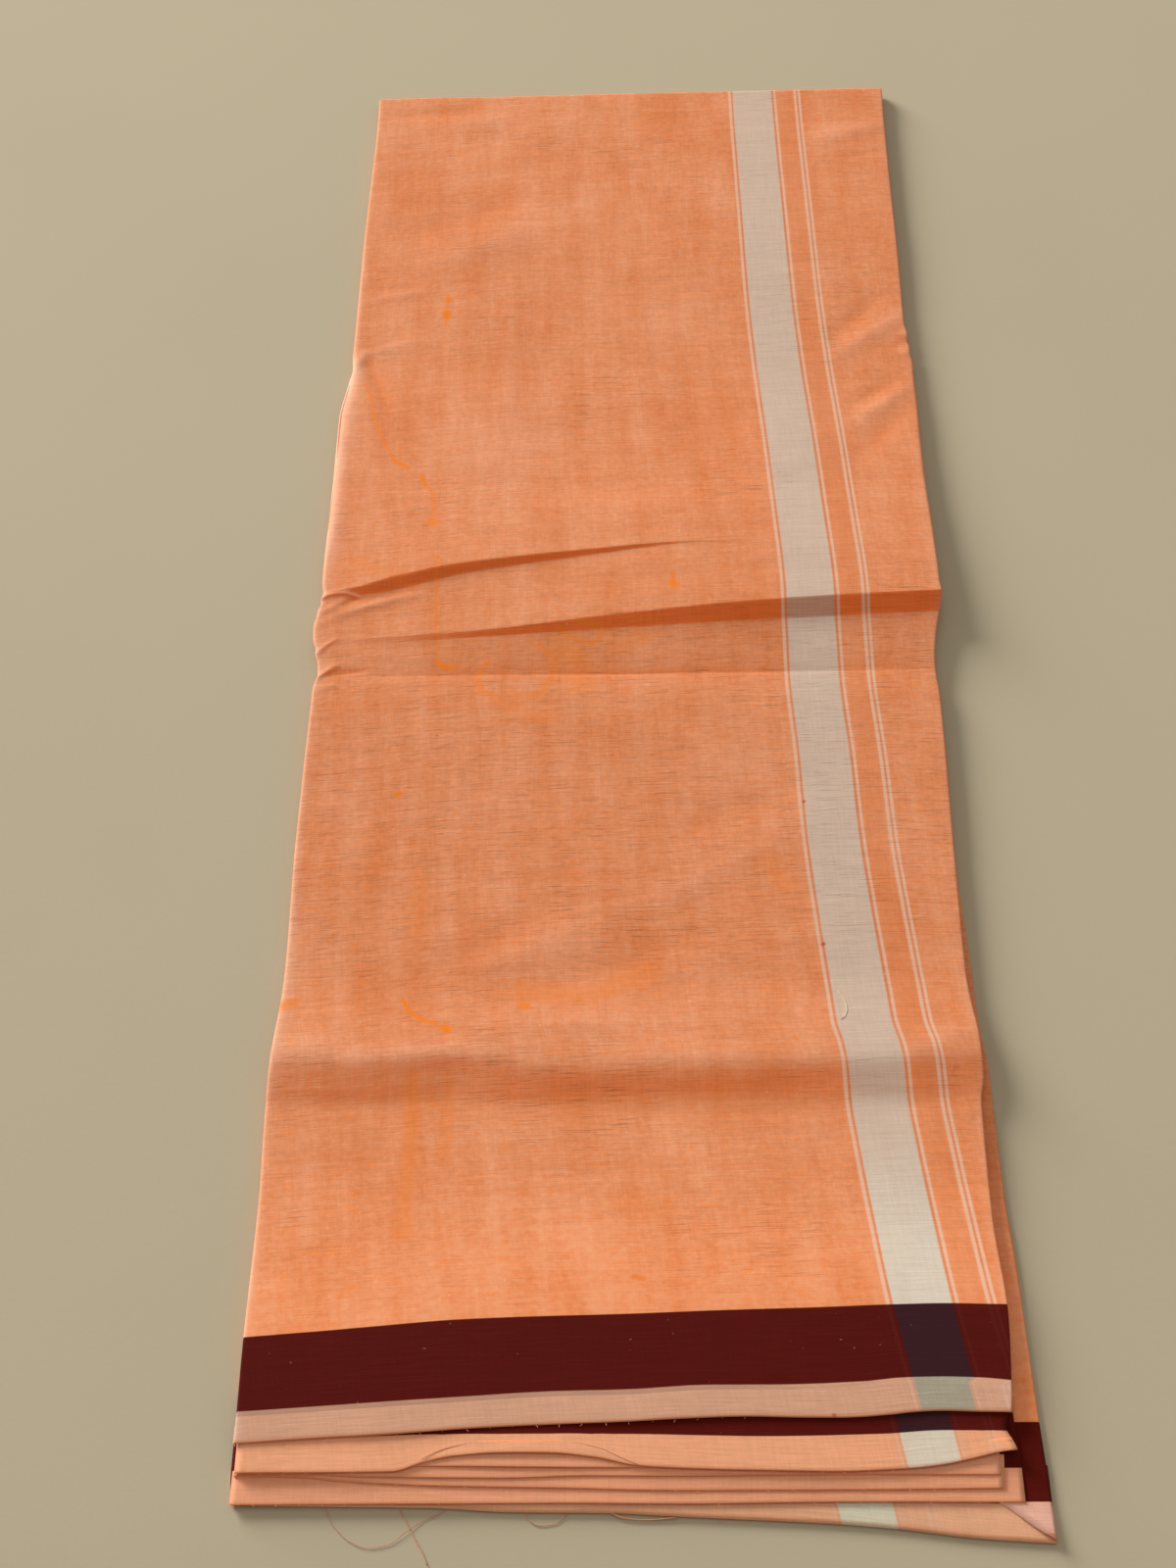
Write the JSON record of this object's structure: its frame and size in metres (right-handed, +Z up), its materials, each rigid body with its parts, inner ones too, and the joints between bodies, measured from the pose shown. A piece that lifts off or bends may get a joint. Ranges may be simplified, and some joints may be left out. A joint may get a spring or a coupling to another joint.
{
  "type": "dhoti cloth",
  "caption": "Folded dhoti cloth lying flat, peach cotton with a silver side stripe, maroon end band and soft pressed creases.",
  "frame": {"origin": "centre of the bounding box on the plane that the cloth lies on", "axes": "+Y along the folded cloth from its hems to its far fold, +Z up, +X towards the side with the silver stripe"},
  "size_m": [0.323, 0.9342, 0.0153],
  "materials": {
    "leaf_top": "fine peach cotton, matt, with a silver side stripe and a maroon end band",
    "leaf_second": "fine peach cotton, matt, with a maroon end band and a pale hem strip",
    "leaf_third": "fine peach cotton, matt, pale hem strip",
    "leaf_fourth": "fine peach cotton, matt, pale hem strip",
    "leaf_bottom": "fine peach cotton, matt, with a silver side stripe and a maroon end band",
    "hidden_folds": "fine peach cotton, matt, seen only as folded edges"
  },
  "bodies": {
    "root": {"leaf_top": "leaf_top", "leaf_second": "leaf_second", "leaf_third": "leaf_third", "leaf_fourth": "leaf_fourth", "leaf_bottom": "leaf_bottom", "hidden_folds": "hidden_folds"}
  },
  "joints": []
}
